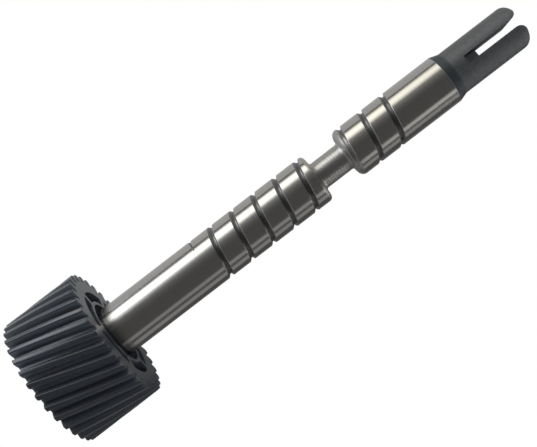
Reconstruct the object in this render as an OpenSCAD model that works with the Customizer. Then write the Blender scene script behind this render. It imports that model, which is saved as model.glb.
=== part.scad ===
// Speedometer gear shaft: a ground steel shaft with an oil groove, a waist and a slotted
// drive fork, and a helical gear moulded onto its other end.
// It stands on the gear's rear face, with its axis along +Z and the fork at the top.

/* [Shaft] */
// Diameter of the two ground journals
journal_d = 8; // [7.4:0.1:9]
// Length of the lower journal, from the gear's front face to its shoulder
lower_journal_l = 38; // [28:0.5:60]
// Rounding of the lower journal's shoulder
lower_shoulder_r = 0.7; // [0.3:0.1:1.2]
// Diameter of the waist that a retaining pin runs in
waist_d = 4.4; // [3.4:0.1:5]
// Length of the waist between the two shoulders
waist_l = 5.3; // [3:0.1:8]
// Fillet at each foot of the waist
waist_fillet_r = 0.5; // [0.2:0.1:0.8]
// Rounding of the upper journal's shoulder
upper_shoulder_r = 1; // [0.3:0.1:1.2]
// Length of the upper journal, from its shoulder to the taper
upper_journal_l = 18.5; // [14:0.1:30]

/* [Drive fork] */
// Length of the taper from the upper journal down to the fork
taper_l = 1.4; // [0.8:0.1:3]
// Diameter of the fork
fork_d = 7.1; // [5.8:0.1:7.4]
// Length of the fork, from the taper to its tip
fork_l = 12.4; // [11:0.1:20]
// Rounding of the outer edge at the tip
tip_r = 1.5; // [0.5:0.1:2.4]
// Width of the slot for the cable's tongue
slot_w = 1.3; // [0.8:0.05:1.8]
// Depth of the slot on the shaft's axis
slot_depth = 8.9; // [6:0.1:10]
// Radius of the disc cutter that leaves the slot's curved floor
cutter_r = 20; // [15:0.5:30]
// How far the cutter's centre lies to the front of the shaft's axis
cutter_offset = 9; // [0:0.5:10]
// Radius of the lead-in along both edges of the slot's mouth
mouth_r = 1.8; // [0.3:0.1:2]
// Turn of the slot about the shaft's axis, in degrees
slot_turn = -3; // [-90:1:90]
// How far the slot's middle lies to the right of the shaft's axis
slot_offset = -0.2; // [-0.4:0.05:0.4]

/* [Oil groove] */
// Axial travel of the groove in one turn
groove_pitch = 4; // [3:0.1:6]
// Width of the groove at the ground surface
groove_w = 0.85; // [0.5:0.05:1]
// Depth of the groove
groove_depth = 0.45; // [0.2:0.05:0.7]
// Width of the groove's floor
groove_floor_w = 0.22; // [0.1:0.02:0.4]
// Distance of the groove's start from the gear's front face
groove_start = 16.85; // [4:0.05:24]
// Distance of the groove's end from the upper journal's end
groove_end = 8.3; // [3:0.1:12]
// Angle of the groove's start about the shaft, in degrees
groove_start_angle = -123; // [-180:1:180]

/* [Gear] */
// Number of teeth
teeth = 32; // [24:1:40]
// Diameter over the tooth tips
gear_d = 21.5; // [20.6:0.1:26]
// Width of the gear
gear_w = 12.4; // [9:0.1:20]
// Full depth of a tooth
tooth_depth = 1.35; // [0.9:0.05:1.6]
// Helix angle at the pitch circle, right-hand, in degrees
helix_angle = 17.5; // [0:0.5:30]
// Pressure angle in the tooth's normal section, in degrees
pressure_angle = 20; // [14.5:0.5:22]
// Angle of the first tooth at the rear face, in degrees
tooth_phase = 2.8; // [0:0.1:15]

/* [Hub] */
// Radial gap of the ring-shaped recess round the shaft
recess_gap = 1.1; // [0.5:0.1:1.4]
// Depth of the recess round the shaft
recess_depth = 1.5; // [0.8:0.1:3]
// Wall of the thin ring round the recess
ring_wall = 0.6; // [0.4:0.1:0.8]
// Radial width of the cored pockets
pocket_w = 1.7; // [0.8:0.1:1.9]
// Depth of the cored pockets
pocket_depth = 6; // [2:0.5:8]
// Number of ribs between the pockets
rib_count = 6; // [3:1:8]
// Thickness of a rib
rib_t = 1; // [0.6:0.1:1.6]
// Angle of the first rib, in degrees
rib_phase = 16; // [0:1:60]

/* [Seat in the gear] */
// Number of knurl ridges that hold the moulded gear
knurl_count = 24; // [16:1:36]
// Depth of the knurl
knurl_depth = 0.3; // [0.15:0.05:0.4]
// How far the knurl's crests lie below the journal's surface
knurl_relief = 0.1; // [0.05:0.05:0.3]
// How far the plain end behind the knurl lies below the knurl's roots
plain_end_step = 0.1; // [0.05:0.05:0.3]
// Length of the plain end behind the knurl
plain_end_l = 1.2; // [0.5:0.1:3]
// How far the shaft's end lies inside the gear's rear face
end_recess = 0.3; // [0.1:0.1:1]

/* [Hidden] */
$fn = 96;
// Overlap for cuts that pass right through a face
cut = 1;

// Heights along the shaft, from the gear's rear face
lower_shoulder_z = gear_w + lower_journal_l;
upper_shoulder_z = lower_shoulder_z + waist_l;
journal_top_z = upper_shoulder_z + upper_journal_l;
fork_z = journal_top_z + taper_l;
tip_z = fork_z + fork_l;

// Radii of the shaft
journal_r = journal_d / 2;
waist_r = waist_d / 2;
fork_r = fork_d / 2;

// Seat of the gear, which ends under the recess round the shaft
seat_top_z = gear_w - recess_depth;
knurl_z = end_recess + plain_end_l;
knurl_r = journal_r - knurl_relief;
plain_end_r = knurl_r - knurl_depth - plain_end_step;

// Fork slot: the cutter's centre is placed so that the slot's floor meets the axis at slot_depth
cutter_z = tip_z - slot_depth + sqrt(pow(cutter_r, 2) - pow(cutter_offset, 2));

// Oil groove: the tool is fed in over feed_angle while it stands still for dwell_angle
dwell_angle = 57;
feed_angle = 120;
groove_step_angle = 20;
tool_reach = 0.4;
tool_h = groove_depth + tool_reach;
tool_top_w = groove_floor_w + (groove_w - groove_floor_w) * tool_h / groove_depth;
tool_outline = [
    [-groove_floor_w / 2, 0],
    [groove_floor_w / 2, 0],
    [tool_top_w / 2, tool_h],
    [-tool_top_w / 2, tool_h]
];
// Clearance of the tool over the ground surface before it is fed in
tool_clear = 0.08;
groove_start_z = gear_w + groove_start;
groove_travel = journal_top_z - groove_end - groove_start_z;
groove_sweep = 360 * groove_travel / groove_pitch + 2 * dwell_angle;
groove_steps = ceil(groove_sweep / groove_step_angle);

// Teeth: involute flanks in the section across the axis
tip_circle_r = gear_d / 2;
root_r = tip_circle_r - tooth_depth;
addendum_share = 0.46;
pitch_r = tip_circle_r - addendum_share * tooth_depth;
transverse_angle = atan(tan(pressure_angle) / cos(helix_angle));
base_r = pitch_r * cos(transverse_angle);
flank_r = max(base_r, root_r);
flank_steps = 3;
gear_twist = gear_w * tan(helix_angle) / pitch_r * 180 / PI;
gear_slices = 8;

// Hub and pockets
recess_r = journal_r + recess_gap;
pocket_in_r = recess_r + ring_wall;
pocket_out_r = pocket_in_r + pocket_w;

// Points along an arc, in degrees from the radial direction
function arc(centre, r, from, to, steps = 6) = [
    for (i = [0:steps])
        let (a = from + (to - from) * i / steps)
        centre + r * [cos(a), sin(a)]
];

// Half profile of the turned shaft above the gear's seat, as radius and height
function shaft_profile() = concat(
    [[0, seat_top_z], [journal_r, seat_top_z]],
    arc([journal_r - lower_shoulder_r, lower_shoulder_z - lower_shoulder_r], lower_shoulder_r, 0, 90),
    arc([waist_r + waist_fillet_r, lower_shoulder_z + waist_fillet_r], waist_fillet_r, 270, 180, 4),
    arc([waist_r + waist_fillet_r, upper_shoulder_z - waist_fillet_r], waist_fillet_r, 180, 90, 4),
    arc([journal_r - upper_shoulder_r, upper_shoulder_z + upper_shoulder_r], upper_shoulder_r, -90, 0),
    [[journal_r, journal_top_z], [fork_r, fork_z]],
    arc([fork_r - tip_r, tip_z - tip_r], tip_r, 0, 90),
    [[0, tip_z]]
);

// Outline of the straight knurl
function knurl_outline() = [
    for (i = [0:2 * knurl_count - 1])
        let (r = knurl_r - knurl_depth * (i % 2), a = 180 * i / knurl_count)
        r * [cos(a), sin(a)]
];

// One section of the groove's cutting tool, swept about the shaft as a left-hand helix
function groove_section(i) =
    let (
        turn = groove_sweep * i / groove_steps,
        feed = min(1, turn / feed_angle, (groove_sweep - turn) / feed_angle),
        tool_r = journal_r + tool_clear - (groove_depth + tool_clear) * feed,
        travel = min(groove_travel, max(0, turn - dwell_angle) * groove_pitch / 360),
        a = groove_start_angle - turn
    )
    [for (p = tool_outline) [
        (tool_r + p[1]) * cos(a),
        (tool_r + p[1]) * sin(a),
        groove_start_z + travel + p[0]
    ]];

// Involute angle at a radius, in degrees
function involute(r) =
    let (a = acos(min(1, base_r / r)))
    tan(a) * 180 / PI - a;

// Half the angle of a tooth at a radius
function half_tooth(r) = 90 / teeth + involute(pitch_r) - involute(r);

// Outline of one tooth, from its root on one flank round to the other
function tooth_outline(centre) =
    let (radii = [for (i = [0:flank_steps]) flank_r + (tip_circle_r - flank_r) * i / flank_steps])
    concat(
        [polar(root_r, centre - half_tooth(flank_r))],
        [for (r = radii) polar(r, centre - half_tooth(r))],
        [for (i = [flank_steps:-1:0]) polar(radii[i], centre + half_tooth(radii[i]))],
        [polar(root_r, centre + half_tooth(flank_r))]
    );

function polar(r, a) = r * [cos(a), sin(a)];

function gear_outline() = [for (i = [0:teeth - 1]) each tooth_outline(360 * i / teeth)];

// The knurled end that the gear is moulded onto, from a given height up to the recess
module seat(from_z) {
    translate([0, 0, from_z])
        cylinder(r = plain_end_r, h = seat_top_z - from_z);
    translate([0, 0, knurl_z])
        linear_extrude(seat_top_z - knurl_z)
            polygon(knurl_outline());
}

// The material that the groove's tool takes out of both journals
module groove_cut() {
    sections = [for (i = [0:groove_steps]) each groove_section(i)];
    n = len(tool_outline);
    last = n * groove_steps;
    walls = [
        for (i = [0:groove_steps - 1], k = [0:n - 1])
            let (a = n * i + k, b = n * i + (k + 1) % n)
            each [[a, b, b + n], [a, b + n, a + n]]
    ];
    start = [for (k = [n - 1:-1:0]) k];
    end = [for (k = [0:n - 1]) last + k];
    polyhedron(points = sections, faces = concat([start], walls, [end]));
}

// The slot that a disc cutter leaves, with a rounded lead-in at the tip
module slot_cut() {
    rotate([0, 0, slot_turn])
        translate([slot_offset, 0, 0]) {
            translate([0, -cutter_offset, cutter_z])
                rotate([0, 90, 0])
                    cylinder(r = cutter_r, h = slot_w, center = true);
            translate([0, 0, tip_z - mouth_r])
                rotate([90, 0, 0])
                    linear_extrude(2 * journal_d, center = true)
                        mouth_outline();
        }
}

// Flare of the slot's mouth: a bar at the tip, less the round edge of each prong
module mouth_outline() {
    flare_w = slot_w + 2 * mouth_r;
    difference() {
        translate([-flare_w / 2, 0])
            square([flare_w, mouth_r + cut]);
        for (side = [-1, 1])
            translate([side * flare_w / 2, 0])
                circle(r = mouth_r);
    }
}

// Ring of cored pockets, which the ribs divide
module pockets() {
    translate([0, 0, gear_w - pocket_depth])
        difference() {
            cylinder(r = pocket_out_r, h = pocket_depth + cut);
            translate([0, 0, -cut])
                cylinder(r = pocket_in_r, h = pocket_depth + 3 * cut);
            for (i = [0:rib_count - 1])
                rotate([0, 0, rib_phase + 360 * i / rib_count])
                    translate([0, -rib_t / 2, -cut])
                        cube([tip_circle_r, rib_t, pocket_depth + 3 * cut]);
        }
}

module shaft() {
    color("silver")
        difference() {
            union() {
                rotate_extrude()
                    polygon(shaft_profile());
                seat(end_recess);
            }
            groove_cut();
            slot_cut();
        }
}

module helical_gear() {
    color("#2b2f38")
        difference() {
            rotate([0, 0, tooth_phase])
                linear_extrude(gear_w, twist = -gear_twist, slices = gear_slices)
                    polygon(gear_outline());
            seat(-cut);
            translate([0, 0, seat_top_z])
                cylinder(r = recess_r, h = recess_depth + cut);
            pockets();
        }
}

shaft();
helical_gear();
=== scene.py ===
"""Looks of the speedometer gear shaft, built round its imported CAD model."""
import math

import bpy
from mathutils import Matrix, Vector


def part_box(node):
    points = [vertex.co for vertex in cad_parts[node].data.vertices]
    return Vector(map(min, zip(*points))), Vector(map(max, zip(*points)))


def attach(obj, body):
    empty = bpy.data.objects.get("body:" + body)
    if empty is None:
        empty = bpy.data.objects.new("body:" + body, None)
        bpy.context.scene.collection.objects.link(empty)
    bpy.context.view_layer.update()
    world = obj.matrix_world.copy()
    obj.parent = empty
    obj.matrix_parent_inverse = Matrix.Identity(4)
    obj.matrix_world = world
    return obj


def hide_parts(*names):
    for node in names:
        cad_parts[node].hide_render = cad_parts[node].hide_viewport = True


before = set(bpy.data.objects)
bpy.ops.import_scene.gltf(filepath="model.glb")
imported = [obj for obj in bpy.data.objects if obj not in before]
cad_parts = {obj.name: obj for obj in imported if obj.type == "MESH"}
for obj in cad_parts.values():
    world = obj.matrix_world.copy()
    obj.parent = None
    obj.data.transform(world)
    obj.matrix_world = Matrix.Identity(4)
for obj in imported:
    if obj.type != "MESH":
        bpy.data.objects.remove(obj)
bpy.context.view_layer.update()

MM = 0.001
gear_low, gear_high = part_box("helical_gear")
shaft_low, shaft_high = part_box("shaft")

# Photograph: its width, the shaft's slope in it, and the camera's place
PHOTO_W = 537
SHAFT_SLOPE = math.radians(37.51)
AIM = Vector((1.03 * MM, 0, 40.37 * MM))
CAMERA_PLACE = Vector((1.03 * MM, -144.0 * MM, 42.7 * MM))
PX_PER_MM = 6.69
SENSOR_MM = 36.0

# Light: the room, and how each soft light changes across, by angle, and up its height
ROOM = (0.1, 0.0985, 0.0965, 1)
SOFT_ROOM = (0.64, 0.69, 0.76, 1)
WHITE = (1, 1, 1, 1)
BLACK = (0, 0, 0, 1)
EVEN = [(0, (1, 1, 1)), (1, (1, 1, 1))]
KEY_ACROSS = [
    (38, 0.11), (41, 0.15), (44, 0.26), (47, 0.42), (50, 0.62), (54, 0.82), (60, 1),
    (70, 1), (76, 0.85), (80, 0.5), (84, 0.2), (88, 0.05), (92, 0.03),
]
KEY_UP = [
    (0.3, (1, 1, 1)),
    (0.42, (0.94, 0.94, 0.92)),
    (0.6, (0.58, 0.565, 0.5)),
    (0.75, (0.3, 0.29, 0.25)),
]
GLOW_ACROSS = [(-2, 0.3), (11, 0.37), (23, 0.5), (30, 0.68), (38, 1)]
GLOW_UP = [(0.42, (1, 1, 1)), (0.6, (0.86, 0.86, 0.84))]
STRIP_ACROSS = [(-79, 0.2), (-76, 1), (-63, 1), (-60, 0.25)]
STRIP_UP = [(0.3, (0.45, 0.45, 0.46)), (0.54, (0.5, 0.5, 0.51)), (0.585, (0.95, 0.94, 0.9))]
FILL_ACROSS = [(60, 1), (130, 1)]
HIGH_FILL_ACROSS = [(-115, 1), (-60, 1)]
GEAR_ACROSS = [
    (18, 0.08), (28, 0.2), (36, 0.36), (44, 0.6), (50, 0.8), (58, 1),
    (70, 1), (78, 0.85), (86, 0.68), (94, 0.5), (100, 0.3),
]
GEAR_UP = [(0, (0.93, 1, 1.08)), (1, (0.93, 1, 1.08))]

# Soft lights: strength, light across and up, distance, height, height of the middle, and rays that miss it
SOFTBOXES = {
    "key": (3.2, KEY_ACROSS, KEY_UP, 0.5, 1.2, 0.04, "diffuse"),
    "key_glow": (0.33, GLOW_ACROSS, GLOW_UP, 0.5, 1.2, 0.04, "none"),
    "low_strip": (0.7, STRIP_ACROSS, STRIP_UP, 0.5, 1.2, 0.04, "none"),
    "soft_fill": (1.15, FILL_ACROSS, EVEN, 0.7, 1.2, 0.04, "glossy"),
    "high_fill": (3, HIGH_FILL_ACROSS, EVEN, 0.5, 0.36, 0.45, "none"),
    "gear_key": (3.2, GEAR_ACROSS, GEAR_UP, 0.48, 0.3, -0.255, "diffuse"),
}

# Table behind the part: its place under the gear's rear face, its lean to the fork, and its ends
TABLE_Y = 12.1 * MM
TABLE_LEAN = 0.097
TABLE_LOW = -120 * MM
TABLE_HIGH = 210 * MM
TABLE_ACROSS = [(0, (0.36, 0.36, 0.36)), (0.035, (1, 1, 1))]
TABLE_UP = [(0.33, (1.7, 1.75, 1.85)), (0.385, (1, 1, 1))]

# Strips of the table: both edges in x, slant, strength, light across and up, and rays that miss it
TABLE_STRIPS = {
    "table_lit": (-2 * MM, -100 * MM, 0, 0.55, TABLE_ACROSS, TABLE_UP, "diffuse"),
    "table_glow": (-2 * MM, -100 * MM, 0, 1.5, EVEN, EVEN, "glossy"),
    "table_far": (23 * MM, 160 * MM, -0.125, 0.33, EVEN, EVEN, "none"),
    "table_shade": (-2 * MM, 9 * MM, 0, 0.2, EVEN, EVEN, "none"),
}

# Floor, and the glow from under it that the steel shows to a view from above
FLOOR_SIZE = 4
FLOOR_Z = -0.05 * MM
FLOOR_GLOW = 0.5
FLOOR_GLOW_SIZE = 0.6
FLOOR_GLOW_Z = -0.35

# Shaft: heights from the gear's rear face, and radii
GEAR_FACE_Z = gear_high.z
END_Z = shaft_low.z
KNURL_Z = END_Z + 1.2 * MM
RECESS_DEPTH = 1.5 * MM
SEAT_TOP_Z = GEAR_FACE_Z - RECESS_DEPTH
LOWER_SHOULDER_Z = GEAR_FACE_Z + 38.0 * MM
UPPER_SHOULDER_Z = LOWER_SHOULDER_Z + 5.3 * MM
JOURNAL_TOP_Z = UPPER_SHOULDER_Z + 18.5 * MM
FORK_Z = JOURNAL_TOP_Z + 1.4 * MM
TIP_Z = FORK_Z + 12.4 * MM
JOURNAL_R = 4.0 * MM
WAIST_R = 2.2 * MM
FORK_R = 3.55 * MM
LOWER_SHOULDER_R = 0.7 * MM
UPPER_SHOULDER_R = 1.0 * MM
WAIST_FILLET_R = 0.5 * MM
TIP_R = 1.5 * MM

# Shaft's mesh: its sides, the steps of its arcs, a journal's rings, and the widest angle shaded smooth
SHAFT_SIDES = 240
SHOULDER_STEPS = 10
FILLET_STEPS = 6
TIP_STEPS = 16
RING_STEP = 0.8 * MM
SHAFT_SMOOTH = math.radians(16.5)

# Marks of the turning tool on the waist
FEED_MARK = 0.5 * MM
FEED_MARK_DEPTH = 0.02 * MM
FEED_MARK_STEPS = 6

# Knurled seat that holds the gear
KNURL_COUNT = 24
KNURL_R = 3.9 * MM
KNURL_DEPTH = 0.3 * MM
PLAIN_END_R = 3.5 * MM

# Oil groove: a left-hand screw over both journals
GROOVE_PITCH = 4.0 * MM
GROOVE_FLOOR = 0.22 * MM
GROOVE_W = 0.85 * MM
GROOVE_DEPTH = 0.45 * MM
GROOVE_LEAN = 0.11 * MM
LIP = 0.05 * MM
TOOL_CLEAR = 0.02 * MM
TOOL_REACH = 0.3 * MM
GROOVE_START_Z = GEAR_FACE_Z + 16.85 * MM
GROOVE_END_Z = JOURNAL_TOP_Z - 8.3 * MM
GROOVE_START_ANGLE = math.radians(-123)
DWELL_ANGLE = math.radians(57)
FEED_ANGLE = math.radians(120)
GROOVE_STEP = math.radians(6)

# Slot of the fork
SLOT_W = 1.3 * MM
SLOT_DEPTH = 8.9 * MM
SLOT_TURN = math.radians(-3)
SLOT_OFFSET = -0.2 * MM
CUTTER_R = 20.0 * MM
CUTTER_OFFSET = 9.0 * MM
CUTTER_SIDES = 360
MOUTH_R = 1.8 * MM

# Gear: its teeth and its rounded edges
TEETH = 32
GEAR_R = (gear_high.x - gear_low.x) / 2
TOOTH_DEPTH = 1.35 * MM
ROOT_R = GEAR_R - TOOTH_DEPTH
HELIX_ANGLE = math.radians(17.5)
PRESSURE_ANGLE = math.radians(14.5)
TOOTH_SHARE = 0.55
TOOTH_PHASE = math.radians(3.7)
ADDENDUM_SHARE = 0.46
PITCH_R = GEAR_R - ADDENDUM_SHARE * TOOTH_DEPTH
FLANK_STEPS = 5
TOOTH_TIP_ROUND = 0.12 * MM
TOOTH_ROOT_ROUND = 0.2 * MM
ROUND_SEGMENTS = 4
GEAR_SLICES = 24
EDGE_ROUND = 0.13 * MM
OUTER_ROUND = 0.3
INNER_ROUND = 0.7
SAME_ANGLE = 1e-5
SAME_RADIUS = 1e-6
GEAR_SMOOTH = math.radians(30)

# Hub and cored pockets
RECESS_R = 5.1 * MM
POCKET_IN_R = 5.7 * MM
POCKET_OUT_R = 7.4 * MM
POCKET_DEPTH = 6.0 * MM
RIB_COUNT = 6
RIB_T = 1.0 * MM
RIB_PHASE = math.radians(16)
POCKET_CORNER = 0.4 * MM
POCKET_FLARE = 0.1 * MM
POCKET_FILLET = 0.3 * MM
POCKET_ARC_STEPS = 12
CUT = 1.0 * MM

# Colours of the ground, dull and turned steel, and of the plastic, with painted shade on the taper, painted
# light in the slot, lit and shaded painted copies in the groove, and painted light in the gear's valleys
# and pockets
GROUND_DARK = (0.46, 0.45, 0.43, 1)
GROUND_LIGHT = (0.58, 0.57, 0.55, 1)
DULL_DARK = (0.07, 0.073, 0.077, 1)
DULL_LIGHT = (0.15, 0.152, 0.15, 1)
# Painted shade: a darker colour for the taper, standing in for the dimmer light its tilted face reflects
TAPER_PAINTED_SHADE = (0.055, 0.062, 0.064, 1)
# Cut steel in the fork's slot: bare steel, made lighter still as painted light against the shade inside the
# slot
CUT_STEEL_AND_PAINTED_LIGHT = (0.34, 0.35, 0.37, 1)
# Painted light and shade: a shaded and a lit copy of the groove's steel, chosen by which way each wall
# faces
GROOVE_PAINTED_SHADE = (0.2, 0.2, 0.2, 1)
GROOVE_PAINTED_LIGHT = (0.36, 0.355, 0.35, 1)
TURNED_DARK = (0.37, 0.365, 0.35, 1)
TURNED_LIGHT = (0.56, 0.55, 0.53, 1)
PLASTIC_DARK = (0.026, 0.029, 0.036, 1)
PLASTIC_LIGHT = (0.034, 0.038, 0.046, 1)
# Painted light: lighter colours that lift the shade in the plastic's valleys and pockets, the brighter one
# for the -X side where the light falls
PAINTED_VALLEY_LIGHT_DIM = (0.05, 0.055, 0.067, 1)
PAINTED_VALLEY_LIGHT_BRIGHT = (0.106, 0.121, 0.141, 1)

# Finish: roughness at its least and most, spots of the grain to a metre, the grain's bump, and the gloss
GROUND_ROUGHNESS = (0.16, 0.24)
DULL_ROUGHNESS = (0.5, 0.62)
TURNED_ROUGHNESS = 0.42
DULL_METALLIC = 0.4
GRINDING_LINES = (60, 60, 9000)
DULL_SPOTS = (1800, 1800, 1800)
STEEL_BUMP = 0.12
GRINDING_ANISOTROPY = 0.6
QUARTER_TURN = 0.25
FLANK_ROUGHNESS = (0.42, 0.5)
FACE_ROUGHNESS = (0.35, 0.41)
SMOOTH_ROUGHNESS = (0.2, 0.26)
PLASTIC_GRAIN = (2500, 2500, 2500)
PLASTIC_CLOUDS = (220, 220, 220)
PLASTIC_BUMP = 0.08
PLASTIC_SPECULAR = 0.75
BUMP_DISTANCE = 0.02 * MM


def add_camera():
    """The shaft lies across the picture, from the gear at lower left to the fork at upper right."""
    data = bpy.data.cameras.new("camera")
    away = CAMERA_PLACE - AIM
    data.sensor_width = SENSOR_MM
    data.lens = PX_PER_MM * away.length / MM / PHOTO_W * SENSOR_MM
    data.clip_start = 1 * MM
    camera = bpy.data.objects.new("camera", data)
    bpy.context.scene.collection.objects.link(camera)
    back = away.normalized()
    across = back.cross(Vector((0, 0, 1))).normalized()
    along = across.cross(back)
    right = math.cos(SHAFT_SLOPE) * along - math.sin(SHAFT_SLOPE) * across
    up = back.cross(right)
    turn = Matrix((right, up, back)).transposed().to_4x4()
    camera.matrix_world = Matrix.Translation(CAMERA_PLACE) @ turn
    bpy.context.scene.camera = camera


def add_floor():
    """A pale floor that shows no shadow."""
    bpy.ops.object.select_all(action="DESELECT")
    bpy.ops.mesh.primitive_plane_add(size=FLOOR_SIZE, location=(0, 0, FLOOR_Z))
    floor = bpy.context.object
    floor.name = "floor"
    material = bpy.data.materials.new("pale_floor")
    material.use_nodes = True
    shader = material.node_tree.nodes["Principled BSDF"]
    shader.inputs["Base Color"].default_value = BLACK
    shader.inputs["Specular IOR Level"].default_value = 0
    shader.inputs["Emission Color"].default_value = WHITE
    shader.inputs["Emission Strength"].default_value = 1
    floor.data.materials.append(material)
    floor.visible_glossy = False
    floor.visible_diffuse = False
    floor.visible_shadow = False


def add_world():
    """A dim room for reflections, softer light for dull surfaces, and white behind the part."""
    world = bpy.data.worlds.new("studio")
    bpy.context.scene.world = world
    world.use_nodes = True
    tree = world.node_tree
    path = tree.nodes.new("ShaderNodeLightPath")
    shown = tree.nodes["Background"].outputs["Background"]
    tree.nodes["Background"].inputs["Color"].default_value = ROOM
    for ray, colour in (("Is Diffuse Ray", SOFT_ROOM), ("Is Camera Ray", WHITE)):
        other = tree.nodes.new("ShaderNodeBackground")
        other.inputs["Color"].default_value = colour
        mix = tree.nodes.new("ShaderNodeMixShader")
        tree.links.new(path.outputs[ray], mix.inputs["Fac"])
        tree.links.new(shown, mix.inputs[1])
        tree.links.new(other.outputs["Background"], mix.inputs[2])
        shown = mix.outputs["Shader"]
    tree.links.new(shown, tree.nodes["World Output"].inputs["Surface"])


def colour_ramp(tree, value, stops):
    """Colours along a value from 0 to 1."""
    made = tree.nodes.new("ShaderNodeValToRGB")
    elements = made.color_ramp.elements
    while len(elements) < len(stops):
        elements.new(1)
    for element, (position, colour) in zip(elements, stops):
        element.position = position
        element.color = (*colour, 1)
    tree.links.new(value, made.inputs["Fac"])
    return made.outputs["Color"]


def glow_material(name, strength, across, up):
    """Light that changes along both edges of a card, each given as places and colours."""
    material = bpy.data.materials.new(name)
    material.use_nodes = True
    tree = material.node_tree
    tree.nodes.clear()
    place = tree.nodes.new("ShaderNodeTexCoord")
    split = tree.nodes.new("ShaderNodeSeparateXYZ")
    tree.links.new(place.outputs["Object"], split.inputs["Vector"])
    sideways = colour_ramp(tree, split.outputs["X"], across)
    upwards = colour_ramp(tree, split.outputs["Y"], up)
    glow = tree.nodes.new("ShaderNodeEmission")
    glow.inputs["Strength"].default_value = strength
    tree.links.new(mix_colour(tree, 1, sideways, upwards, "MULTIPLY"), glow.inputs["Color"])
    output = tree.nodes.new("ShaderNodeOutputMaterial")
    tree.links.new(glow.outputs["Emission"], output.inputs["Surface"])
    return material


def add_card(name, corner, edge, up_edge, material, missed_by):
    """A glowing card that the camera doesn't see, from one corner along its two edges."""
    bpy.ops.object.select_all(action="DESELECT")
    bpy.ops.mesh.primitive_plane_add(size=1)
    card = bpy.context.object
    card.name = name
    for vertex in card.data.vertices:
        vertex.co += Vector((0.5, 0.5, 0))
    facing = edge.cross(up_edge).normalized()
    turn = Matrix((edge, up_edge, facing)).transposed().to_4x4()
    card.matrix_world = Matrix.Translation(corner) @ turn
    card.data.materials.append(material)
    card.visible_camera = False
    card.visible_diffuse = missed_by != "diffuse"
    card.visible_glossy = missed_by != "glossy"
    return card


def add_softbox(name, strength, across, up, distance, height, middle_z, missed_by):
    """A tall soft light. Its light across is given by degrees from the camera's side towards -X."""
    low = math.radians(across[0][0])
    high = math.radians(across[-1][0])
    middle = (low + high) / 2
    half = math.tan((high - low) / 2)
    stops = []
    for degrees, value in across:
        position = 0.5 + math.tan(math.radians(degrees) - middle) / half / 2
        stops.append((position, (value, value, value)))
    reach = distance / math.cos((high - low) / 2)
    ends = [reach * Vector((-math.sin(a), -math.cos(a), 0)) for a in (low, high)]
    corner = ends[0] + Vector((0, 0, middle_z - height / 2))
    material = glow_material(name, strength, stops, up)
    add_card(name, corner, ends[1] - ends[0], Vector((0, 0, height)), material, missed_by)


def add_table(name, from_x, to_x, slant, strength, across, up, missed_by):
    """A strip of the pale table that the gear and the fork lean on, seen in reflections."""
    tall = TABLE_HIGH - TABLE_LOW
    corner = Vector((from_x + slant * TABLE_LOW, TABLE_Y - TABLE_LEAN * TABLE_LOW, TABLE_LOW))
    up_edge = Vector((slant * tall, -TABLE_LEAN * tall, tall))
    material = glow_material(name, strength, across, up)
    card = add_card(name, corner, Vector((to_x - from_x, 0, 0)), up_edge, material, missed_by)
    card.visible_shadow = False


def add_floor_glow():
    """Light from under the floor, which only the steep reflections of a view from above reach."""
    corner = Vector((-FLOOR_GLOW_SIZE / 2, -FLOOR_GLOW_SIZE / 2, FLOOR_GLOW_Z))
    edge = Vector((FLOOR_GLOW_SIZE, 0, 0))
    up_edge = Vector((0, FLOOR_GLOW_SIZE, 0))
    material = glow_material("floor_glow", FLOOR_GLOW, EVEN, EVEN)
    card = add_card("floor_glow", corner, edge, up_edge, material, "diffuse")
    card.visible_shadow = False


def polar(radius, angle, height=0.0):
    return Vector((radius * math.cos(angle), radius * math.sin(angle), height))


def arc(centre, radius, start, end, steps):
    """Points of an arc in a half section, as radius and height, with angles in degrees from the radius."""
    angles = [math.radians(start + (end - start) * i / steps) for i in range(steps + 1)]
    return [(centre[0] + radius * math.cos(a), centre[1] + radius * math.sin(a)) for a in angles]


def start_face(name, points):
    """A flat face with the given corners, left selected in edit mode."""
    bpy.ops.object.select_all(action="DESELECT")
    bpy.ops.mesh.primitive_circle_add(vertices=len(points), fill_type="NGON")
    piece = bpy.context.object
    piece.name = name
    for vertex, point in zip(piece.data.vertices, points):
        vertex.co = point
    bpy.ops.object.mode_set(mode="EDIT")
    bpy.ops.mesh.select_mode(type="FACE")
    bpy.ops.mesh.select_all(action="SELECT")
    return piece


def extrude(move):
    bpy.ops.mesh.extrude_region_move(TRANSFORM_OT_translate={"value": move})


def inset_round(size, first_share):
    """Rounds an edge of the selected face in two insets, the first one by a share of the size."""
    for share in (first_share, 1 - first_share):
        bpy.ops.mesh.inset(thickness=share * size, depth=(1 - share) * size)


def spin_selected(angle):
    """Turns what is selected about the shaft's axis, counter-clockwise from above."""
    bpy.ops.transform.rotate(value=-angle, orient_axis="Z", center_override=(0, 0, 0))


def close_up():
    """Ends the edit with all faces pointing outwards."""
    bpy.ops.mesh.select_all(action="SELECT")
    bpy.ops.mesh.normals_make_consistent(inside=False)
    bpy.ops.object.mode_set(mode="OBJECT")


def turned(name, profile):
    """A turned solid: a disc that is drawn up through the points of a half section."""
    radius, height = profile[0]
    angles = [2 * math.pi * i / SHAFT_SIDES for i in range(SHAFT_SIDES)]
    piece = start_face(name, [polar(radius, a, height) for a in angles])
    for next_radius, next_height in profile[1:]:
        extrude((0, 0, next_height - height))
        scale = next_radius / radius
        bpy.ops.transform.resize(value=(scale, scale, 1), center_override=(0, 0, next_height))
        radius, height = next_radius, next_height
    close_up()
    return piece


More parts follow.
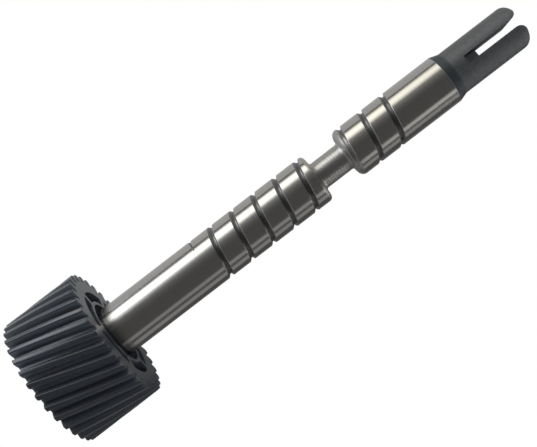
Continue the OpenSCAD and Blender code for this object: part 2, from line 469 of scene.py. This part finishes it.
def press_knurl(piece):
    """Straight ridges in the two rings of the seat."""
    for vertex in piece.data.vertices:
        on_seat = KNURL_Z - LIP < vertex.co.z < SEAT_TOP_Z + LIP
        if on_seat and abs(vertex.co.xy.length - KNURL_R) < LIP:
            phase = math.atan2(vertex.co.y, vertex.co.x) * KNURL_COUNT / (2 * math.pi) % 1
            dip = KNURL_DEPTH * (1 - abs(2 * phase - 1))
            vertex.co.xy *= (KNURL_R - dip) / KNURL_R


def select_only(piece):
    bpy.ops.object.select_all(action="DESELECT")
    bpy.context.view_layer.objects.active = piece
    piece.select_set(True)


def carve(piece, cutter):
    """Takes the cutter out of the piece and deletes it."""
    modifier = piece.modifiers.new("carve", "BOOLEAN")
    modifier.operation = "DIFFERENCE"
    modifier.solver = "EXACT"
    modifier.object = cutter
    select_only(piece)
    bpy.ops.object.modifier_apply(modifier="carve")
    bpy.data.objects.remove(cutter)


def keep_flats(piece):
    """Keeps large flat faces flat where small rounded ones meet them."""
    modifier = piece.modifiers.new("even", "WEIGHTED_NORMAL")
    modifier.keep_sharp = True
    bpy.ops.object.modifier_apply(modifier="even")


def seat_profile(from_z):
    return [
        (PLAIN_END_R, from_z),
        (PLAIN_END_R, KNURL_Z),
        (KNURL_R, KNURL_Z),
        (KNURL_R, SEAT_TOP_Z),
    ]


def waist_profile():
    """The waist's fillets, with the shallow marks of the turning tool between them."""
    low = LOWER_SHOULDER_Z + WAIST_FILLET_R
    high = UPPER_SHOULDER_Z - WAIST_FILLET_R
    steps = FEED_MARK_STEPS * round((high - low) / FEED_MARK)
    points = []
    for i in range(1, steps):
        rise = FEED_MARK_DEPTH * abs(math.cos(math.pi * i / FEED_MARK_STEPS))
        points.append((WAIST_R + rise, low + (high - low) * i / steps))
    return (
        arc((WAIST_R + WAIST_FILLET_R, low), WAIST_FILLET_R, 270, 180, FILLET_STEPS)
        + points
        + arc((WAIST_R + WAIST_FILLET_R, high), WAIST_FILLET_R, 180, 90, FILLET_STEPS)
    )


def journal_rings(low, high):
    """Rings of a journal, close enough to keep its reflections straight beside the groove."""
    count = math.ceil((high - low) / RING_STEP)
    return [(JOURNAL_R, low + (high - low) * i / count) for i in range(1, count)]


def shaft_profile():
    """The shaft's half section, from its end in the gear to the tip of the fork."""
    groove_low = GROOVE_START_Z - GROOVE_W
    lower_top = LOWER_SHOULDER_Z - LOWER_SHOULDER_R
    upper_foot = UPPER_SHOULDER_Z + UPPER_SHOULDER_R
    return (
        seat_profile(END_Z)
        + [(JOURNAL_R, SEAT_TOP_Z), (JOURNAL_R, groove_low)]
        + journal_rings(groove_low, lower_top)
        + arc((JOURNAL_R - LOWER_SHOULDER_R, lower_top), LOWER_SHOULDER_R, 0, 90, SHOULDER_STEPS)
        + waist_profile()
        + arc((JOURNAL_R - UPPER_SHOULDER_R, upper_foot), UPPER_SHOULDER_R, -90, 0, SHOULDER_STEPS)
        + journal_rings(upper_foot, JOURNAL_TOP_Z)
        + [(JOURNAL_R, JOURNAL_TOP_Z), (FORK_R, FORK_Z)]
        + arc((FORK_R - TIP_R, TIP_Z - TIP_R), TIP_R, 0, 90, TIP_STEPS)
    )


def groove_tool(turn, sweep):
    """Angle, height and cutting radius of the grooving tool after a part of its sweep."""
    travel = max(0, turn - DWELL_ANGLE) * GROOVE_PITCH / (2 * math.pi)
    height = min(GROOVE_START_Z + travel, GROOVE_END_Z)
    share = min(1, turn / FEED_ANGLE, (sweep - turn) / FEED_ANGLE)
    radius = JOURNAL_R + TOOL_CLEAR - (GROOVE_DEPTH + TOOL_CLEAR) * share
    return GROOVE_START_ANGLE - turn, height, radius


def groove_cutter():
    """What the leaning grooving tool sweeps out, with a broken edge where it leaves the ground surface."""
    sweep = (GROOVE_END_Z - GROOVE_START_Z) / GROOVE_PITCH * 2 * math.pi + 2 * DWELL_ANGLE
    steps = math.ceil(sweep / GROOVE_STEP)
    wall = [
        (GROOVE_W / 2 - LIP / 2, GROOVE_DEPTH - LIP),
        (GROOVE_W / 2 + LIP, GROOVE_DEPTH),
        (GROOVE_W / 2 + 2 * LIP, GROOVE_DEPTH + TOOL_REACH),
    ]
    section = [(GROOVE_LEAN + GROOVE_FLOOR / 2, 0)] + wall
    section += [(-across, out) for across, out in reversed(wall)]
    section.append((GROOVE_LEAN - GROOVE_FLOOR / 2, 0))
    angle, height, radius = groove_tool(0, sweep)
    corners = [polar(radius + out, angle, height + across) for across, out in section]
    cutter = start_face("groove_cutter", corners)
    for i in range(1, steps + 1):
        next_angle, next_height, next_radius = groove_tool(sweep * i / steps, sweep)
        inwards = polar(next_radius - radius, angle)
        extrude((inwards.x, inwards.y, next_height - height))
        spin_selected(next_angle - angle)
        angle, height, radius = next_angle, next_height, next_radius
    close_up()
    return cutter


def slot_tool(name, outline, width):
    """A cutter for the fork: an outline drawn along a width and turned as the slot is."""
    cutter = start_face(name, outline)
    extrude(width)
    bpy.ops.mesh.select_all(action="SELECT")
    spin_selected(SLOT_TURN)
    close_up()
    return cutter


def slot_cutter():
    """The disc that cuts the slot of the fork."""
    cutter_z = TIP_Z - SLOT_DEPTH + math.sqrt(CUTTER_R ** 2 - CUTTER_OFFSET ** 2)
    rim = []
    for i in range(CUTTER_SIDES):
        angle = 2 * math.pi * i / CUTTER_SIDES
        y = CUTTER_R * math.cos(angle) - CUTTER_OFFSET
        z = CUTTER_R * math.sin(angle) + cutter_z
        rim.append(Vector((SLOT_OFFSET - SLOT_W / 2, y, z)))
    return slot_tool("slot_cutter", rim, (SLOT_W, 0, 0))


def mouth_cutter():
    """The flare at the mouth of the slot, which rounds the inner edge of each prong."""
    centre = (SLOT_W / 2 + MOUTH_R, TIP_Z - MOUTH_R)
    right_side = arc(centre, MOUTH_R, 180, 90, TIP_STEPS) + [(centre[0], TIP_Z + CUT)]
    outline = right_side + [(-x, z) for x, z in reversed(right_side)]
    outline = [Vector((SLOT_OFFSET + x, -2 * FORK_R, z)) for x, z in outline]
    return slot_tool("mouth_cutter", outline, (0, 4 * FORK_R, 0))


def make_shaft():
    piece = turned("shaft_steel", shaft_profile())
    press_knurl(piece)
    for cutter in (groove_cutter, slot_cutter, mouth_cutter):
        carve(piece, cutter())
    bpy.ops.object.shade_smooth_by_angle(angle=SHAFT_SMOOTH)
    return piece


def involute(radius, base_r):
    angle = math.acos(min(1, base_r / radius))
    return math.tan(angle) - angle


def tooth_outline():
    """Points of one tooth as radius and angle from its middle, from a valley's middle to the last root."""
    base_r = PITCH_R * math.cos(math.atan(math.tan(PRESSURE_ANGLE) / math.cos(HELIX_ANGLE)))
    flank_r = max(base_r, ROOT_R)
    middle = math.pi * TOOTH_SHARE / TEETH + involute(PITCH_R, base_r)
    side = [(ROOT_R, middle)]
    for i in range(1, FLANK_STEPS + 1):
        radius = flank_r + (GEAR_R - flank_r) * i / FLANK_STEPS
        side.append((radius, middle - involute(radius, base_r)))
    return [(ROOT_R, math.pi / TEETH)] + side + [(GEAR_R, 0)] + [(r, -a) for r, a in reversed(side)]


def select_corners(piece, corners):
    """Selects every tooth's corner that answers to a corner of the first tooth, in edit mode."""
    bpy.ops.mesh.select_mode(type="VERT")
    bpy.ops.mesh.select_all(action="DESELECT")
    bpy.ops.object.mode_set(mode="OBJECT")
    pitch = 2 * math.pi / TEETH
    for vertex in piece.data.vertices:
        for corner in corners:
            off = math.atan2(vertex.co.y, vertex.co.x) - math.atan2(corner.y, corner.x)
            off -= pitch * round(off / pitch)
            if abs(off) < SAME_ANGLE and abs(vertex.co.xy.length - corner.length) < SAME_RADIUS:
                vertex.select = True
    bpy.ops.object.mode_set(mode="EDIT")


def select_vertices(piece, numbers):
    """Selects vertices of a piece in edit mode by their numbers."""
    bpy.ops.mesh.select_mode(type="VERT")
    bpy.ops.mesh.select_all(action="DESELECT")
    bpy.ops.object.mode_set(mode="OBJECT")
    for number in numbers:
        piece.data.vertices[number].select = True
    bpy.ops.object.mode_set(mode="EDIT")


def select_end(piece, height):
    """Selects the flat end face at a height, in edit mode."""
    bpy.ops.object.mode_set(mode="EDIT")
    bpy.ops.mesh.select_mode(type="FACE")
    bpy.ops.mesh.select_all(action="DESELECT")
    bpy.ops.object.mode_set(mode="OBJECT")
    for face in piece.data.polygons:
        face.select = abs(face.center.z - height) < EDGE_ROUND / 10 and len(face.vertices) > TEETH
    bpy.ops.object.mode_set(mode="EDIT")


def gear_blank():
    """The toothed rim: one outline drawn up along the helix, with its end edges rounded."""
    height = GEAR_FACE_Z - 2 * EDGE_ROUND
    twist = GEAR_FACE_Z * math.tan(HELIX_ANGLE) / PITCH_R
    tooth = tooth_outline()
    points = []
    for i in range(TEETH):
        middle = TOOTH_PHASE + 2 * math.pi * i / TEETH
        points += [polar(r, middle - a, EDGE_ROUND) for r, a in tooth]
    piece = start_face("gear_plastic", points)
    roots = [polar(r, TOOTH_PHASE - a) for r, a in (tooth[1], tooth[-1])]
    tips = [polar(r, TOOTH_PHASE - a) for r, a in (tooth[1 + FLANK_STEPS], tooth[3 + FLANK_STEPS])]
    for corners, size in ((tips, TOOTH_TIP_ROUND), (roots, TOOTH_ROOT_ROUND)):
        select_corners(piece, corners)
        bpy.ops.mesh.bevel(offset=size, segments=ROUND_SEGMENTS, affect="VERTICES")
    bpy.ops.mesh.select_mode(type="FACE")
    bpy.ops.mesh.select_all(action="SELECT")
    for i in range(GEAR_SLICES):
        extrude((0, 0, height / GEAR_SLICES))
        spin_selected(twist / GEAR_SLICES)
    close_up()
    for end in (EDGE_ROUND, GEAR_FACE_Z - EDGE_ROUND):
        select_end(piece, end)
        inset_round(EDGE_ROUND, OUTER_ROUND)
        close_up()
    return piece


def pocket_cutter(first_rib):
    """One cored pocket between two ribs, with a flared mouth and a rounded floor."""
    next_rib = first_rib + 2 * math.pi / RIB_COUNT
    rows = []
    for radius in (POCKET_IN_R - POCKET_FLARE, POCKET_OUT_R + POCKET_FLARE):
        clear = math.asin((RIB_T / 2 - POCKET_FLARE) / radius)
        low = first_rib + clear
        high = next_rib - clear
        row = [low + (high - low) * i / POCKET_ARC_STEPS for i in range(POCKET_ARC_STEPS + 1)]
        rows.append([polar(radius, a, GEAR_FACE_Z + CUT) for a in row])
    cutter = start_face("pocket_cutter", rows[0] + rows[1][::-1])
    last = POCKET_ARC_STEPS
    select_vertices(cutter, [0, last, last + 1, 2 * last + 1])
    bpy.ops.mesh.bevel(offset=POCKET_CORNER, segments=ROUND_SEGMENTS, affect="VERTICES")
    bpy.ops.mesh.select_all(action="SELECT")
    bpy.ops.mesh.select_mode(type="FACE")
    extrude((0, 0, -CUT))
    inset_round(POCKET_FLARE, INNER_ROUND)
    extrude((0, 0, POCKET_FLARE + POCKET_FILLET - POCKET_DEPTH))
    inset_round(POCKET_FILLET, OUTER_ROUND)
    close_up()
    return cutter


def make_gear():
    piece = gear_blank()
    seat = turned("seat_cutter", seat_profile(-CUT))
    press_knurl(seat)
    carve(piece, seat)
    recess = turned("recess_cutter", [(RECESS_R, SEAT_TOP_Z), (RECESS_R, GEAR_FACE_Z + CUT)])
    carve(piece, recess)
    for i in range(RIB_COUNT):
        carve(piece, pocket_cutter(RIB_PHASE + 2 * math.pi * i / RIB_COUNT))
    bpy.ops.object.shade_smooth_by_angle(angle=GEAR_SMOOTH)
    keep_flats(piece)
    return piece


def feed(tree, socket, value):
    """Links another socket to a socket, or sets it to a number or colour."""
    if isinstance(value, bpy.types.NodeSocket):
        tree.links.new(value, socket)
    else:
        socket.default_value = value


def ramp_up(tree, value, low, high):
    """0 at the low value and 1 at the high one, with a soft change between them."""
    made = tree.nodes.new("ShaderNodeMapRange")
    made.interpolation_type = "SMOOTHSTEP"
    made.inputs["From Min"].default_value = low
    made.inputs["From Max"].default_value = high
    tree.links.new(value, made.inputs["Value"])
    return made.outputs["Result"]


def math_node(tree, operation, first, second):
    made = tree.nodes.new("ShaderNodeMath")
    made.operation = operation
    feed(tree, made.inputs[0], first)
    feed(tree, made.inputs[1], second)
    return made.outputs["Value"]


def mix_colour(tree, share, first, second, blend="MIX"):
    made = tree.nodes.new("ShaderNodeMix")
    made.data_type = "RGBA"
    made.blend_type = blend
    feed(tree, made.inputs[0], share)
    feed(tree, made.inputs[6], first)
    feed(tree, made.inputs[7], second)
    return made.outputs[2]


def mix_value(tree, share, first, second):
    made = tree.nodes.new("ShaderNodeMix")
    made.data_type = "FLOAT"
    feed(tree, made.inputs[0], share)
    feed(tree, made.inputs[2], first)
    feed(tree, made.inputs[3], second)
    return made.outputs[0]


def noise(tree, place, per_metre, detail):
    """Noise with its own number of spots to a metre along each axis."""
    mapping = tree.nodes.new("ShaderNodeMapping")
    mapping.inputs["Scale"].default_value = per_metre
    tree.links.new(place, mapping.inputs["Vector"])
    texture = tree.nodes.new("ShaderNodeTexNoise")
    texture.inputs["Scale"].default_value = 1
    texture.inputs["Detail"].default_value = detail
    tree.links.new(mapping.outputs["Vector"], texture.inputs["Vector"])
    return texture.outputs["Fac"]


def bump(tree, height, strength):
    made = tree.nodes.new("ShaderNodeBump")
    made.inputs["Strength"].default_value = strength
    made.inputs["Distance"].default_value = BUMP_DISTANCE
    tree.links.new(height, made.inputs["Height"])
    return made.outputs["Normal"]


def split_vector(tree, vector):
    """The X, Y and Z of a vector."""
    split = tree.nodes.new("ShaderNodeSeparateXYZ")
    tree.links.new(vector, split.inputs["Vector"])
    return split.outputs["X"], split.outputs["Y"], split.outputs["Z"]


def place_on_piece(tree):
    """The place on the piece, with its x, its distance from the shaft's axis and its height."""
    place = tree.nodes.new("ShaderNodeTexCoord").outputs["Object"]
    x, y, height = split_vector(tree, place)
    squares = [math_node(tree, "MULTIPLY", side, side) for side in (x, y)]
    radius = math_node(tree, "SQRT", math_node(tree, "ADD", *squares), 0)
    return place, x, radius, height


def slot_mask(tree, place, radius, height):
    """1 on the walls and the floor of the fork's slot."""
    turn = tree.nodes.new("ShaderNodeVectorMath")
    turn.operation = "DOT_PRODUCT"
    turn.inputs[1].default_value = (math.cos(SLOT_TURN), math.sin(SLOT_TURN), 0)
    tree.links.new(place, turn.inputs[0])
    across = math_node(tree, "SUBTRACT", turn.outputs["Value"], SLOT_OFFSET)
    across = math_node(tree, "ABSOLUTE", across, 0)
    inside = ramp_up(tree, across, SLOT_W / 2 + 0.03 * MM, SLOT_W / 2 + 0.01 * MM)
    under_skin = ramp_up(tree, radius, FORK_R - 0.01 * MM, FORK_R - 0.05 * MM)
    inside = math_node(tree, "MULTIPLY", inside, under_skin)
    return math_node(tree, "MULTIPLY", inside, ramp_up(tree, height, FORK_Z, FORK_Z + 1 * MM))


def groove_painted_light_and_shade(tree):
    """Steel in the groove as painted shade, with painted light on its wall towards the fork."""
    facing = tree.nodes.new("ShaderNodeTexCoord").outputs["Normal"]
    upwards = split_vector(tree, facing)[2]
    return mix_colour(tree, ramp_up(tree, upwards, -0.4, -0.15), GROOVE_PAINTED_LIGHT, GROOVE_PAINTED_SHADE)


def band_mask(tree, height, from_z, full_z, last_full_z, to_z):
    """1 between two heights, with a soft change at each end."""
    over = ramp_up(tree, height, from_z, full_z)
    under = ramp_up(tree, height, to_z, last_full_z)
    return math_node(tree, "MULTIPLY", over, under)


def ground_steel():
    """Steel ground bright on the journals, turned on the waist and the shoulders, and dull elsewhere, with
    painted shade on the taper, painted light in the slot, and lit and shaded painted copies on the groove's
    walls.
    """
    material = bpy.data.materials.new("ground_steel")
    material.use_nodes = True
    tree = material.node_tree
    shader = tree.nodes["Principled BSDF"]
    shader.inputs["Anisotropic"].default_value = GRINDING_ANISOTROPY
    shader.inputs["Anisotropic Rotation"].default_value = QUARTER_TURN
    tangent = tree.nodes.new("ShaderNodeTangent")
    tangent.direction_type = "RADIAL"
    tangent.axis = "Z"
    tree.links.new(tangent.outputs["Tangent"], shader.inputs["Tangent"])

    place, _, radius, height = place_on_piece(tree)
    outside = ramp_up(tree, radius, JOURNAL_R - 0.035 * MM, JOURNAL_R - 0.01 * MM)
    below = ramp_up(tree, height, JOURNAL_TOP_Z - 0.12 * MM, JOURNAL_TOP_Z - 0.24 * MM)
    ground = math_node(tree, "MULTIPLY", outside, below)
    low = LOWER_SHOULDER_Z - LOWER_SHOULDER_R
    high = UPPER_SHOULDER_Z + UPPER_SHOULDER_R
    turned_part = band_mask(tree, height, low - 0.1 * MM, low, high, high + 0.1 * MM)
    taper = (JOURNAL_TOP_Z - 0.3 * MM, JOURNAL_TOP_Z, FORK_Z - 0.4 * MM, FORK_Z + 0.2 * MM)
    # Where the painted shade of the taper lies
    taper_shade_share = band_mask(tree, height, *taper)
    in_slot = slot_mask(tree, place, radius, height)

    lines = noise(tree, place, GRINDING_LINES, 4)
    spots = noise(tree, place, DULL_SPOTS, 5)
    dull = mix_colour(tree, spots, DULL_DARK, DULL_LIGHT)
    # Painted shade: the darker colour on the taper
    dull = mix_colour(tree, taper_shade_share, dull, TAPER_PAINTED_SHADE)
    # Painted light: the lighter cut steel inside the slot, partly its own bare colour
    dull = mix_colour(tree, in_slot, dull, CUT_STEEL_AND_PAINTED_LIGHT)
    # Painted light and shade in the groove, by which way each wall faces
    colour = mix_colour(tree, below, dull, groove_painted_light_and_shade(tree))
    half_bright = mix_colour(tree, lines, TURNED_DARK, TURNED_LIGHT)
    colour = mix_colour(tree, turned_part, colour, half_bright)
    bright = mix_colour(tree, lines, GROUND_DARK, GROUND_LIGHT)
    colour = mix_colour(tree, ground, colour, bright)
    tree.links.new(colour, shader.inputs["Base Color"])

    finish = mix_value(tree, below, mix_value(tree, spots, *DULL_ROUGHNESS), TURNED_ROUGHNESS)
    finish = mix_value(tree, ground, finish, mix_value(tree, lines, *GROUND_ROUGHNESS))
    tree.links.new(finish, shader.inputs["Roughness"])
    metal = math_node(tree, "MAXIMUM", below, in_slot)
    tree.links.new(mix_value(tree, metal, DULL_METALLIC, 1), shader.inputs["Metallic"])
    grain = mix_value(tree, below, spots, lines)
    tree.links.new(bump(tree, grain, STEEL_BUMP), shader.inputs["Normal"])
    return material


def black_plastic():
    """Blue-black moulded plastic, smooth on the tips and the face, with painted light in the valleys and
    pockets, stronger on the -X side and up the flanks.
    """
    material = bpy.data.materials.new("black_plastic")
    material.use_nodes = True
    tree = material.node_tree
    shader = tree.nodes["Principled BSDF"]
    shader.inputs["Specular IOR Level"].default_value = PLASTIC_SPECULAR

    place, x, radius, height = place_on_piece(tree)
    grain = noise(tree, place, PLASTIC_GRAIN, 4)
    clouds = noise(tree, place, PLASTIC_CLOUDS, 2)
    tip = ramp_up(tree, radius, GEAR_R - 0.22 * MM, GEAR_R - 0.1 * MM)
    face = ramp_up(tree, height, GEAR_FACE_Z - 0.1 * MM, GEAR_FACE_Z - 0.02 * MM)
    root = ramp_up(tree, radius, ROOT_R + 0.25 * MM, ROOT_R + 0.1 * MM)
    root = math_node(tree, "SUBTRACT", root, face)
    on_flank = ramp_up(tree, radius, ROOT_R + 0.1 * MM, ROOT_R + 0.7 * MM)
    # Share of painted light: more on the -X side where the light falls, and more up the flanks than at the
    # roots
    painted_light_share = mix_value(tree, 0.2, ramp_up(tree, x, 8 * MM, -10 * MM), clouds)
    painted_light_share = math_node(tree, "MULTIPLY", painted_light_share, mix_value(tree, on_flank, 0.45, 1))

    # Painted light that lifts the shade in the valleys and pockets
    painted_valley_light = mix_colour(tree, painted_light_share, PAINTED_VALLEY_LIGHT_DIM, PAINTED_VALLEY_LIGHT_BRIGHT)
    plain_plastic = mix_colour(tree, clouds, PLASTIC_DARK, PLASTIC_LIGHT)
    no_painted_light = math_node(tree, "MAXIMUM", tip, face)
    tree.links.new(mix_colour(tree, no_painted_light, painted_valley_light, plain_plastic), shader.inputs["Base Color"])

    flank_finish = mix_value(tree, grain, *FLANK_ROUGHNESS)
    finish = mix_value(tree, face, flank_finish, mix_value(tree, grain, *FACE_ROUGHNESS))
    smooth = math_node(tree, "MAXIMUM", tip, root)
    finish = mix_value(tree, smooth, finish, mix_value(tree, grain, *SMOOTH_ROUGHNESS))
    tree.links.new(finish, shader.inputs["Roughness"])
    tree.links.new(bump(tree, grain, PLASTIC_BUMP), shader.inputs["Normal"])
    return material


add_camera()
add_floor()
add_world()
for name, light in SOFTBOXES.items():
    add_softbox(name, *light)
for name, strip in TABLE_STRIPS.items():
    add_table(name, *strip)
add_floor_glow()
bpy.context.scene.view_settings.view_transform = "Standard"

for piece, material, node, slot in (
    (make_shaft(), ground_steel(), "shaft", "ground_steel"),
    (make_gear(), black_plastic(), "helical_gear", "black_plastic"),
):
    piece.data.materials.clear()
    piece.data.materials.append(material)
    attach(piece, "root")
    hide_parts(node)
